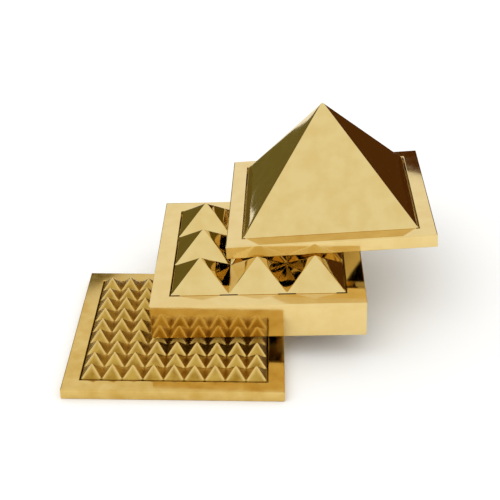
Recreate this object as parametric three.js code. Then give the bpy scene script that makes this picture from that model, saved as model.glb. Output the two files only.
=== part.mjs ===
// A three-layer brass vastu pyramid: three hollow square plates that carry 81, 9 and 1 pyramids.
// Each plate is a pressed square frame (rim and skirt) with a pyramid sheet soldered into its window.
// The plates stand in an open staircase, each one resting on the pyramids of the plate below it.
// Units are millimetres, +Z is up, and +Y points away from the front edge.
import * as THREE from "three";

// Sizes that all three plates share
const plateSide = 50; // outer side of every square plate
const skirtWall = 1.0; // thickness of the skirt round each plate
const rimThickness = 1.9; // depth of the rim, from its top face to its underside
const seatLedge = 1.2; // how far the frame's ledge reaches in under its pyramid sheet
const sheetThickness = 0.8; // thickness of a pyramid sheet, measured square to its faces
const solderGap = 0.3; // film of solder under and around each pyramid sheet
const restingGap = 0.3; // clearance left where a plate rests on the pyramids below it

// Sizes of each plate: pyramids along one side, overall depth, rim width and pyramid height
const lower = { pyramids: 9, depth: 2.5, rim: 3.8, rise: 2.9 };
const middle = { pyramids: 3, depth: 8.8, rim: 4.4, rise: 6.2 };
const upper = { pyramids: 1, depth: 3.3, rim: 3.8, rise: 25.4 };

// How far each loose plate stands to the right of and behind the plate below, and its tilt on it in degrees
const middleStep = { right: 19.0, back: 16.5, yaw: 0, pitch: 0.8, roll: -2.1 };
const upperStep = { right: 17.8, back: 14.2, yaw: -0.7, pitch: -2.5, roll: -3.0 };

// Polished brass; the sheets are a little rougher in the hollows between their pyramids
const brass = { color: 0xd8b45f, metalness: 1.0 };
const frameFinish = new THREE.MeshStandardMaterial({ ...brass, roughness: 0.12 });
const sheetFinish = new THREE.MeshStandardMaterial({ ...brass, roughness: 0.3 });

// A square ring: a closed profile of [distance from the centre, height] points carried round four mitred corners.
function squareRing(profile) {
  const corners = [...profile, profile[0]].map(([r, z]) => new THREE.Vector2(r * Math.SQRT2, z));
  return new THREE.LatheGeometry(corners, 4, Math.PI / 4).rotateX(Math.PI / 2);
}

// The frame of one plate: an outer skirt, a flat rim on top, and a ledge below the window that seats the sheet.
function frameGeometry({ depth, rim }) {
  const outside = plateSide / 2;
  const window = outside - rim;
  const seat = depth - sheetThickness - solderGap;
  const underside = depth - rimThickness;
  return squareRing([
    [outside, 0],
    [outside, depth],
    [window, depth],
    [window, seat],
    [window - seatLedge, seat],
    [window - seatLedge, underside],
    [outside - skirtWall, underside],
    [outside - skirtWall, 0],
  ]);
}

// The four corners of a square with its centre at (x, y), in order round it, at height z.
function squareCorners(x, y, half, z) {
  const around = [[-1, -1], [1, -1], [1, 1], [-1, 1]];
  return around.map(([i, j]) => new THREE.Vector3(x + i * half, y + j * half, z));
}

// One pyramid sheet: square pyramids side by side, each hollow below, with a flat web round every hollow.
// The hollow has the slope of the pyramid and lies one sheet thickness inside its faces.
function sheetGeometry({ pyramids, depth, rim, rise }) {
  const side = plateSide - 2 * rim - 2 * solderGap;
  const cell = side / pyramids;
  const slope = rise / (cell / 2);
  const hollowTip = depth + rise - sheetThickness * Math.hypot(1, slope);
  const under = depth - sheetThickness;
  const hollowHalf = (hollowTip - under) / slope;
  const corners = [];
  const triangle = (...points) => corners.push(...points);
  const quad = (a, b, c, d) => triangle(a, b, c, a, c, d);

  for (let column = 0; column < pyramids; column++) {
    for (let row = 0; row < pyramids; row++) {
      const x = (column + 0.5) * cell - side / 2;
      const y = (row + 0.5) * cell - side / 2;
      const foot = squareCorners(x, y, cell / 2, depth);
      const web = squareCorners(x, y, cell / 2, under);
      const mouth = squareCorners(x, y, hollowHalf, under);
      const tip = new THREE.Vector3(x, y, depth + rise);
      const hollow = new THREE.Vector3(x, y, hollowTip);
      const edges = [row === 0, column === pyramids - 1, row === pyramids - 1, column === 0];
      edges.forEach((onEdge, a) => {
        const b = (a + 1) % 4;
        triangle(foot[a], foot[b], tip);
        triangle(mouth[b], mouth[a], hollow);
        quad(web[b], web[a], mouth[a], mouth[b]);
        if (onEdge) quad(web[a], web[b], foot[b], foot[a]);
      });
    }
  }
  return new THREE.BufferGeometry().setFromPoints(corners);
}

// One plate as a group: its frame, and the pyramid sheet that lies on the frame's ledge.
function plate(size, frameName, sheetName) {
  const frame = new THREE.Mesh(frameGeometry(size), frameFinish);
  frame.name = frameName;
  const sheet = new THREE.Mesh(sheetGeometry(size), sheetFinish);
  sheet.name = sheetName;
  return new THREE.Group().add(frame, sheet);
}

// Height of a plate's upper surface at (x, y): its rim, the slope of a pyramid, or nothing beyond its edge.
function surfaceHeight({ pyramids, depth, rim, rise }, x, y) {
  const reach = Math.max(Math.abs(x), Math.abs(y));
  const field = plateSide / 2 - rim - solderGap;
  if (reach > plateSide / 2) return 0;
  if (reach > field) return depth;
  const cell = (2 * field) / pyramids;
  const fromTip = (value) => Math.abs(((value + field) % cell) - cell / 2);
  return depth + rise * (1 - Math.max(fromTip(x), fromTip(y)) / (cell / 2));
}

// The height at which a tilted plate comes to rest on the plate below, tried along its skirt's lower edges.
function seatHeight(below, { right, back }, tilt) {
  const trials = 200;
  let height = 0;
  for (const edge of [plateSide / 2, plateSide / 2 - skirtWall]) {
    for (let trial = 0; trial <= trials; trial++) {
      const along = edge * ((2 * trial) / trials - 1);
      for (const [x, y] of [[along, -edge], [along, edge], [-edge, along], [edge, along]]) {
        const point = new THREE.Vector3(x, y, 0).applyEuler(tilt);
        const surface = surfaceHeight(below, right + point.x, back + point.y);
        height = Math.max(height, surface - point.z);
      }
    }
  }
  return height + restingGap;
}

// Stands one plate on another: turned by yaw about Z, then pitch about X, then roll about Y.
function stand(group, below, step) {
  const [turnX, turnY, turnZ] = [step.pitch, step.roll, step.yaw].map(THREE.MathUtils.degToRad);
  group.rotation.set(turnX, turnY, turnZ, "ZXY");
  group.position.set(step.right, step.back, seatHeight(below, step, group.rotation));
  return group;
}

const lowerPlate = plate(lower, "lower_frame", "lower_pyramid_sheet");
const middlePlate = stand(plate(middle, "middle_frame", "middle_pyramid_sheet"), lower, middleStep);
const upperPlate = stand(plate(upper, "upper_frame", "upper_pyramid"), middle, upperStep);
middlePlate.add(upperPlate);
const set = new THREE.Group().add(lowerPlate, middlePlate);

// The origin is the centre of the whole set's outline, on the surface that it stands on.
const outline = new THREE.Box3().setFromObject(set, true).getCenter(new THREE.Vector3());
set.position.set(-outline.x, -outline.y, 0);

export default new THREE.Group().add(set);
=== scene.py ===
# %% [markdown]
# A polished brass pyramid set, finished in Blender.
# The set is three loose square plates that stand in an open, slightly tipped staircase. The lowest
# carries 81 small pyramids, the middle one nine, and the highest a single large one. Their shapes and
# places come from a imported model, and this lesson gives them the surface of real brass.

import math

import bpy
import numpy as np
from mathutils import Matrix, Quaternion, Vector


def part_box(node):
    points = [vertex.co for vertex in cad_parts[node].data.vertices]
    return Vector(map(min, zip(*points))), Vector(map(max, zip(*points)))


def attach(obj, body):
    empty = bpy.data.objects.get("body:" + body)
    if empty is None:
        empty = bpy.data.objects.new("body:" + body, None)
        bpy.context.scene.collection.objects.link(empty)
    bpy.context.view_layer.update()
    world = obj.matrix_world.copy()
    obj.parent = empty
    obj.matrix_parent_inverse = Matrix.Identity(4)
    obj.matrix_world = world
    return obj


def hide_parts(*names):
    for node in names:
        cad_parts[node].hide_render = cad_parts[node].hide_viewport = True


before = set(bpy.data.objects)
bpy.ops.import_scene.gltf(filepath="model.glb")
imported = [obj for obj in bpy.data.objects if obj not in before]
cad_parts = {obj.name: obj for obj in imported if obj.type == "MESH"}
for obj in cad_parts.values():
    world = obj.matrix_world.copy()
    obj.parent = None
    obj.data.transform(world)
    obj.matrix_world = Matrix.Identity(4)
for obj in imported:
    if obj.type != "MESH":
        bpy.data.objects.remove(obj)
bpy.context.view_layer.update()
MM = 0.001
print("nodes:", ", ".join(sorted(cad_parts)))

# %% [markdown]
# Where each plate lies. A plate is easy to describe in its own frame: flat, square, with its centre at
# the origin. So its tilt is written once here, and its centre is measured from the frame's own corners
# once they are turned back flat. Nothing is fitted by eye.

# %% Find each plate's own frame
MIDDLE_TILT = {"yaw": 0.0, "pitch": 0.8, "roll": -2.1}
UPPER_TILT = {"yaw": -0.7, "pitch": -2.5, "roll": -3.0}


def turn(tilt):
    """Turned about Z by yaw, then about X by pitch, then about Y by roll, each in degrees."""
    z = Matrix.Rotation(math.radians(tilt["yaw"]), 3, "Z")
    x = Matrix.Rotation(math.radians(tilt["pitch"]), 3, "X")
    y = Matrix.Rotation(math.radians(tilt["roll"]), 3, "Y")
    return np.array(z @ x @ y)


def corners(node, rotation):
    """The node's lowest and highest corners in the frame of a plate that is turned by rotation."""
    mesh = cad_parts[node].data
    points = np.empty(len(mesh.vertices) * 3, np.float32)
    mesh.vertices.foreach_get("co", points)
    flat = points.reshape(-1, 3) @ rotation
    return flat.min(axis=0), flat.max(axis=0)


def plate(body, frame_node, sheet_node, rotation, cells):
    """A plate's sizes in metres, all measured on its solids."""
    low, high = corners(frame_node, rotation)
    sheet_low, sheet_high = corners(sheet_node, rotation)
    centre = np.array([(low[0] + high[0]) / 2, (low[1] + high[1]) / 2, low[2]])
    return {
        "body": body,
        "frame": frame_node,
        "sheet": sheet_node,
        "rotation": rotation,
        "centre": centre,
        "cells": cells,
        "field": float(sheet_high[0] - sheet_low[0]),
        "foot": float(high[2] - low[2]),
        "under": float(sheet_low[2] - low[2]),
        "tip": float(sheet_high[2] - low[2]),
    }


level = np.eye(3)
middle_turn = turn(MIDDLE_TILT)
upper_turn = middle_turn @ turn(UPPER_TILT)
lower = plate("lower_plate", "lower_frame", "lower_pyramid_sheet", level, 9)
middle = plate("middle_plate", "middle_frame", "middle_pyramid_sheet", middle_turn, 3)
upper = plate("upper_plate", "upper_frame", "upper_pyramid", upper_turn, 1)
for p in (lower, middle, upper):
    print(p["body"], "field", round(p["field"] / MM, 2), "mm, tips at", round(p["tip"] / MM, 2), "mm")

# %% [markdown]
# The pyramids. A box-modelled pyramid has knife edges, which catch no light. Real ridges are worn to a
# small radius, and each one shows as a fine bright line. The sheet is therefore a height worked out on a
# grid: the distance from a tip is the larger of the sideways distances, with that choice rounded off over
# the width of the ridge. The rounded surface lies inside the sharp one, so it can't outgrow the solid.

# %% Height of a sheet of pyramids
STEP = 0.2 * MM
SEED = 91
SHARP_FROM = math.radians(50)
VALLEY_FROM = 0.97


def grid_faces(n, split):
    """Two triangles for each square of an n by n grid. Where split is true, they meet along the
    diagonal from low to high, elsewhere along the other, so that a ridge always follows an edge."""
    i, j = np.meshgrid(np.arange(n), np.arange(n), indexing="ij")
    a = i * (n + 1) + j
    b, c, d = a + n + 1, a + n + 2, a + 1
    first = np.where(split[..., None], np.stack([a, b, c], -1), np.stack([a, b, d], -1))
    second = np.where(split[..., None], np.stack([a, c, d], -1), np.stack([b, c, d], -1))
    return np.concatenate([first.reshape(-1, 3), second.reshape(-1, 3)])


def rim_faces(n, layer):
    """Walls round the edge of the grid, from the upper surface to the lower one, a layer further on."""
    k = np.arange(n)
    side = n + 1
    front = np.stack([k * side, (k + 1) * side], -1)
    back = np.stack([(k + 1) * side + n, k * side + n], -1)
    left = np.stack([k + 1, k], -1)
    right = np.stack([n * side + k, n * side + k + 1], -1)
    edge = np.concatenate([front, right, back, left])
    a, b = edge[:, 0], edge[:, 1]
    upper_half = np.stack([b, a, a + layer], -1)
    lower_half = np.stack([b, a + layer, b + layer], -1)
    return np.concatenate([upper_half, lower_half])


def pyramid_sheet(name, p, ridge, uneven):
    """Height = tip - slope * distance, where distance is the smooth maximum of |x| and |y| from the
    nearest tip: half of (|x| + |y| + the root of (|x| - |y|) squared + ridge squared).
    The hollow below has the same slope and lies one sheet thickness inside. uneven lowers single
    pyramids by up to that share of their height, as hand finishing does."""
    cells, field = p["cells"], p["field"]
    n = cells * 2 * round(field / cells / STEP / 2)
    axis = np.linspace(-field / 2, field / 2, n + 1)
    x, y = np.meshgrid(axis, axis, indexing="ij")
    half = field / cells / 2
    per_cell = n // cells
    number = np.minimum(np.arange(n + 1) // per_cell, cells - 1)
    middles = (number + 0.5) * 2 * half - field / 2
    dx = np.abs(x - middles[:, None])
    dy = np.abs(y - middles[None, :])
    distance = (dx + dy + np.sqrt((dx - dy) ** 2 + ridge**2)) / 2
    rise = p["tip"] - p["foot"]
    lowered = np.random.default_rng(SEED).uniform(0, uneven, (cells, cells))
    worn = lowered[number[:, None], number[None, :]]
    top = p["foot"] + rise * (1 - worn) * np.clip(1 - distance / half, 0, 1)

    slope = rise / half
    thickness = p["foot"] - p["under"]
    hollow_tip = p["tip"] - thickness * math.hypot(1, slope)
    bottom = np.maximum(p["under"], hollow_tip - slope * np.maximum(dx, dy))

    surfaces = [np.stack([x, y, height], -1).reshape(-1, 3) for height in (top, bottom)]
    local = np.concatenate(surfaces)
    points = (local + p["centre"]) @ p["rotation"].T
    mid = (axis[:-1] + axis[1:]) / 2
    mx = mid - middles[:-1]
    split = mx[:, None] * mx[None, :] > 0
    upside = grid_faces(n, split)
    layer = (n + 1) ** 2
    faces = np.concatenate([upside, upside[:, ::-1] + layer, rim_faces(n, layer)])

    mesh = bpy.data.meshes.new(name)
    mesh.from_pydata(points.tolist(), [], faces.tolist())
    mesh.polygons.foreach_set("use_smooth", np.ones(len(faces), bool))
    mesh.set_sharp_from_angle(angle=SHARP_FROM)
    crest = np.exp(-(((dx - dy) / (2 * ridge)) ** 2)) * (distance < VALLEY_FROM * half)
    rubbed = np.concatenate([crest.ravel(), np.zeros(layer)]).astype(np.float32)
    mesh.attributes.new("rubbed", "FLOAT", "POINT").data.foreach_set("value", rubbed)
    mesh.update()
    piece = bpy.data.objects.new(name, mesh)
    bpy.context.scene.collection.objects.link(piece)
    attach(piece, p["body"])
    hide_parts(p["sheet"])
    print(name, "triangles:", len(faces))
    return piece


# %% Make the three sheets
SMALL_RIDGE = 0.28 * MM
NINE_RIDGE = 0.36 * MM
LARGE_RIDGE = 0.40 * MM
CAST_UNEVEN = 0.10
FILED_UNEVEN = 0.02
small_pyramids = pyramid_sheet("small_pyramids", lower, SMALL_RIDGE, CAST_UNEVEN)
nine_pyramids = pyramid_sheet("nine_pyramids", middle, NINE_RIDGE, FILED_UNEVEN)
large_pyramid = pyramid_sheet("large_pyramid", upper, LARGE_RIDGE, 0.0)

# %% [markdown]
# The plate frames are right as they are, apart from their edges. They stay, and two modifiers finish
# them: Weld joins the loose triangles, and Bevel rounds every sharp edge as a buffing wheel does. The
# rounding draws a fine line along each edge, because it mirrors another part of the room.

# %% Round the edges of the plate frames
EDGE_RADIUS = 0.22 * MM
EDGE_FROM = math.radians(30)
SAME_POINT = 0.001 * MM
plate_frames = [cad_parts[p["frame"]] for p in (lower, middle, upper)]
for obj in plate_frames:
    weld = obj.modifiers.new("weld", "WELD")
    weld.merge_threshold = SAME_POINT
    bevel = obj.modifiers.new("buffed_edges", "BEVEL")
    bevel.width = EDGE_RADIUS
    bevel.segments = 3
    bevel.limit_method = "ANGLE"
    bevel.angle_limit = EDGE_FROM
print("frames with rounded edges:", len(plate_frames))

# %% [markdown]
# Materials. Brass is an alloy of copper and zinc, and its colour comes wholly from what it mirrors,
# tinted yellow. So it is a metal with a pale gold base colour and low roughness. Light that bounces
# twice between plates is tinted twice, and turns orange in the gaps with no help from the shader.

# %% Helpers for colour and nodes
def linear(hex_colour):
    """An sRGB hex colour as the linear RGBA that a shader socket takes."""
    channels = [int(hex_colour[i : i + 2], 16) / 255 for i in (1, 3, 5)]
    return [c / 12.92 if c <= 0.04045 else ((c + 0.055) / 1.055) ** 2.4 for c in channels] + [1.0]


def add(tree, kind, settings=None, **inputs):
    """Adds a node. settings are its own properties; each input takes a value, or a socket to link."""
    node = tree.nodes.new(kind)
    for key, value in (settings or {}).items():
        setattr(node, key, value)
    for key, value in inputs.items():
        socket = node.inputs[key.replace("_", " ")]
        if isinstance(value, bpy.types.NodeSocket):
            tree.links.new(value, socket)
        else:
            socket.default_value = value
    return node


def ramp(tree, factor, stops):
    """A colour ramp through (place, hex colour) stops."""
    node = add(tree, "ShaderNodeValToRGB", Fac=factor)
    elements = node.color_ramp.elements
    while len(elements) < len(stops):
        elements.new(0.5)
    for element, (place, colour) in zip(elements, stops):
        element.position = place
        element.color = linear(colour)
    return node.outputs["Color"]


def new_material(name):
    """An empty material with its output node."""
    material = bpy.data.materials.new(name)
    material.use_nodes = True
    material.node_tree.nodes.clear()
    return material, material.node_tree, add(material.node_tree, "ShaderNodeOutputMaterial")


# %% [markdown]
# Buffed brass. A hand-held buffing wheel leaves three things to see: faces that swell and dip by a few
# hundredths of a millimetre over a centimetre, which bends long reflections; a haze whose gloss changes
# in patches; and hairlines along the stroke, drawn here coarser than real ones so that they show.

# %% Buffed brass
WAVE = 11 * MM
HAZE = 4 * MM
HAIRLINE = 0.35 * MM
HAIRLINE_DEPTH = 0.0012 * MM
HAIRLINE_SQUEEZE = 0.06


def buffed_brass(name, pale, deep, wave_depth, gloss):
    """Polished brass: pale and deep are its two tints, gloss its lowest and highest roughness."""
    material, tree, output = new_material(name)
    place = add(tree, "ShaderNodeTexCoord").outputs["Object"]
    swell = add(tree, "ShaderNodeTexNoise", Vector=place, Scale=1 / WAVE, Detail=1.0)
    haze = add(tree, "ShaderNodeTexNoise", Vector=place, Scale=1 / HAZE, Detail=5.0)
    along = add(tree, "ShaderNodeMapping", Vector=place, Scale=(HAIRLINE_SQUEEZE, 1.0, 1.0))
    hair = add(tree, "ShaderNodeTexNoise", Vector=along.outputs[0], Scale=1 / HAIRLINE, Detail=2.0)
    tint = ramp(tree, haze.outputs["Fac"], [(0.35, deep), (0.62, pale)])
    rough = add(tree, "ShaderNodeMapRange", Value=haze.outputs["Fac"], From_Min=0.3, From_Max=0.7,
                To_Min=gloss[0], To_Max=gloss[1])
    fine = add(tree, "ShaderNodeBump", Height=hair.outputs["Fac"], Distance=HAIRLINE_DEPTH, Strength=1.0)
    wavy = add(tree, "ShaderNodeBump", Height=swell.outputs["Fac"], Distance=wave_depth, Strength=1.0,
               Normal=fine.outputs["Normal"])
    brass = add(tree, "ShaderNodeBsdfPrincipled", Base_Color=tint, Metallic=1.0,
                Roughness=rough.outputs["Result"], Normal=wavy.outputs["Normal"])
    tree.links.new(brass.outputs["BSDF"], output.inputs["Surface"])
    return material


buffed_frame = buffed_brass("brass_buffed_plate", "#E6CC8C", "#E1C582", 0.04 * MM, (0.05, 0.10))
buffed_base = buffed_brass("brass_buffed_base", "#DBBB70", "#CCA755", 0.05 * MM, (0.07, 0.14))
buffed_faces = buffed_brass("brass_buffed_pyramid", "#E2CA8A", "#DDC27E", 0.07 * MM, (0.04, 0.08))

# %% [markdown]
# Cast brass. The 81 small pyramids keep the skin of the mould: a fine grain that scatters light, a
# duller and deeper gold in the valleys where no wheel can reach, and bright metal along the ridges
# where fingers and cloths rub. The sheet carries that rubbed share as an attribute of its own.

# %% Cast brass
MOULD_GRAIN = 0.3 * MM
MOULD_GRAIN_DEPTH = 0.035 * MM
STAIN = 2.5 * MM


def cast_brass(name):
    """Brass as cast: grainy and dull, but brighter and smoother where the mesh says it is rubbed."""
    material, tree, output = new_material(name)
    place = add(tree, "ShaderNodeTexCoord").outputs["Object"]
    grain = add(tree, "ShaderNodeTexNoise", Vector=place, Scale=1 / MOULD_GRAIN, Detail=3.0)
    stain = add(tree, "ShaderNodeTexNoise", Vector=place, Scale=1 / STAIN, Detail=4.0)
    rubbed = add(tree, "ShaderNodeAttribute", {"attribute_name": "rubbed"}).outputs["Fac"]
    skin = ramp(tree, stain.outputs["Fac"], [(0.35, "#A37D2C"), (0.65, "#C2A04A")])
    # A Mix node has sockets for each kind of data; 0 is the factor, and 6 and 7 are its two colours.
    colour = add(tree, "ShaderNodeMix", {"data_type": "RGBA"})
    tree.links.new(rubbed, colour.inputs[0])
    tree.links.new(skin, colour.inputs[6])
    colour.inputs[7].default_value = linear("#DFC078")
    rough = add(tree, "ShaderNodeMapRange", Value=rubbed, To_Min=0.36, To_Max=0.20)
    bump = add(tree, "ShaderNodeBump", Height=grain.outputs["Fac"], Distance=MOULD_GRAIN_DEPTH, Strength=1.0)
    brass = add(tree, "ShaderNodeBsdfPrincipled", Base_Color=colour.outputs[2], Metallic=1.0,
                Roughness=rough.outputs["Result"], Normal=bump.outputs["Normal"])
    tree.links.new(brass.outputs["BSDF"], output.inputs["Surface"])
    return material


# %% Put the materials on
def wear(obj, material):
    """Gives the object that one material."""
    obj.data.materials.clear()
    obj.data.materials.append(material)


# The lowest plate is a little duller and deeper in colour than the other two.
for obj, material in zip(plate_frames, (buffed_base, buffed_frame, buffed_frame)):
    wear(obj, material)
wear(nine_pyramids, buffed_faces)
wear(large_pyramid, buffed_faces)
wear(small_pyramids, cast_brass("brass_as_cast"))
print("materials:", ", ".join(sorted(m.name for m in bpy.data.materials if m.name.startswith("brass"))))

# %% [markdown]
# The studio. Polished metal shows its room, so the room is the lighting. It is white all round, with two glowing
# dim cards behind, left and right, one olive and one brown. They are no lamps; they paint reflections. The
# sloping side faces mirror those cards and go deep olive and brown, while the front faces and rims mirror white.
# Only reflections see the cards.

# %% A flat board for the floor and the cards
def board(name, centre, across, up):
    """A flat four-cornered board through centre, spanned by the half-widths across and up."""
    c, a, u = (np.array(v, float) for v in (centre, across, up))
    mesh = bpy.data.meshes.new(name)
    around = [c - a - u, c + a - u, c + a + u, c - a + u]
    mesh.from_pydata([tuple(v) for v in around], [], [(0, 1, 2, 3)])
    obj = bpy.data.objects.new(name, mesh)
    bpy.context.scene.collection.objects.link(obj)
    return obj


FLOOR_HALF = 2500 * MM
FLOOR_DROP = 0.02 * MM
floor = board("floor", (0, 0, -FLOOR_DROP), (FLOOR_HALF, 0, 0), (0, FLOOR_HALF, 0))
paper, tree, output = new_material("paper_white")
paper_skin = add(tree, "ShaderNodeBsdfDiffuse", Color=linear("#FAFAF8"))
tree.links.new(paper_skin.outputs["BSDF"], output.inputs["Surface"])
wear(floor, paper)

CARD_AWAY = 110 * MM
CARD_HEIGHT = 62 * MM
CARD_WIDTH = 150 * MM


def painted_reflection_card(name, azimuth, colour):
    """A glowing card on the floor that faces the set from that azimuth, clockwise from straight behind. It is no
    lamp: it paints a coloured reflection into the brass, and only reflections see it.
    """
    a = math.radians(azimuth)
    centre = (CARD_AWAY * math.sin(a), CARD_AWAY * math.cos(a), CARD_HEIGHT / 2)
    across = (CARD_WIDTH / 2 * math.cos(a), -CARD_WIDTH / 2 * math.sin(a), 0)
    card = board(name, centre, across, (0, 0, CARD_HEIGHT / 2))
    material, tree, output = new_material(name)
    # The card glows in its own colour, so the brass shows that colour as a painted reflection.
    glow = add(tree, "ShaderNodeEmission", Color=linear(colour), Strength=1.0)
    tree.links.new(glow.outputs["Emission"], output.inputs["Surface"])
    wear(card, material)
    card.visible_camera = False
    card.visible_diffuse = False
    card.visible_shadow = False
    card.visible_transmission = False
    return card


# These two glowing cards paint the dark olive and brown reflections on the sloping side faces.
painted_reflection_card("painted_reflection_left", -47, "#6F6531")
painted_reflection_card("painted_reflection_right", 47, "#52300F")

# %% Light
# The room is white at strength 1, so a colour renders about as it is written.
world = bpy.data.worlds.new("white_room")
bpy.context.scene.world = world
world.use_nodes = True
tree = world.node_tree
tree.nodes.clear()
white = add(tree, "ShaderNodeBackground", Color=linear("#FFFFFF"), Strength=1.0)
tree.links.new(white.outputs[0], add(tree, "ShaderNodeOutputWorld").inputs["Surface"])

softbox = bpy.data.objects.new("softbox", bpy.data.lights.new("softbox", "AREA"))
bpy.context.scene.collection.objects.link(softbox)
# The softbox only gives the floor its soft shadow. Mirrors don't see it, so that the white room alone tints them.
softbox.data.size = 0.8
softbox.data.energy = 2.0
softbox.visible_glossy = False
softbox.location = (-0.35, -0.45, 0.75)
softbox.rotation_euler = (-softbox.location).to_track_quat("-Z", "Y").to_euler()

# %% [markdown]
# The camera. It looks down at about thirty degrees from a little right of straight ahead. Its place
# is in units of a plate's side, so the same view is kept at any size of the set.

# %% Camera
side = (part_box("lower_frame")[1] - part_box("lower_frame")[0]).x
base = (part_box("lower_frame")[1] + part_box("lower_frame")[0]) / 2
base.z = 0
AZIMUTH, ELEVATION, ROLL = (math.radians(v) for v in (0.79, 30.09, 0.27))
AIM = Vector((0.330, 0.325, 0.300))
DISTANCE = 5.40
target = base + side * AIM
level_share = math.cos(ELEVATION)
back = Vector((math.sin(AZIMUTH) * level_share, -math.cos(AZIMUTH) * level_share, math.sin(ELEVATION)))
camera = bpy.data.objects.new("camera", bpy.data.cameras.new("camera"))
bpy.context.scene.collection.objects.link(camera)
bpy.context.scene.camera = camera
camera.location = target + back * DISTANCE * side
camera.rotation_mode = "QUATERNION"
camera.rotation_quaternion = (-back).to_track_quat("-Z", "Y") @ Quaternion((0, 0, 1), ROLL)
FOCAL_PIXELS = 1088
FRAME_PIXELS = 500
camera.data.sensor_width = 36
camera.data.lens = FOCAL_PIXELS / FRAME_PIXELS * camera.data.sensor_width
camera.data.clip_start = 0.01
bpy.context.scene.view_settings.view_transform = "Standard"
print("camera", round(camera.data.lens, 1), "mm lens at", [round(v, 3) for v in camera.location])
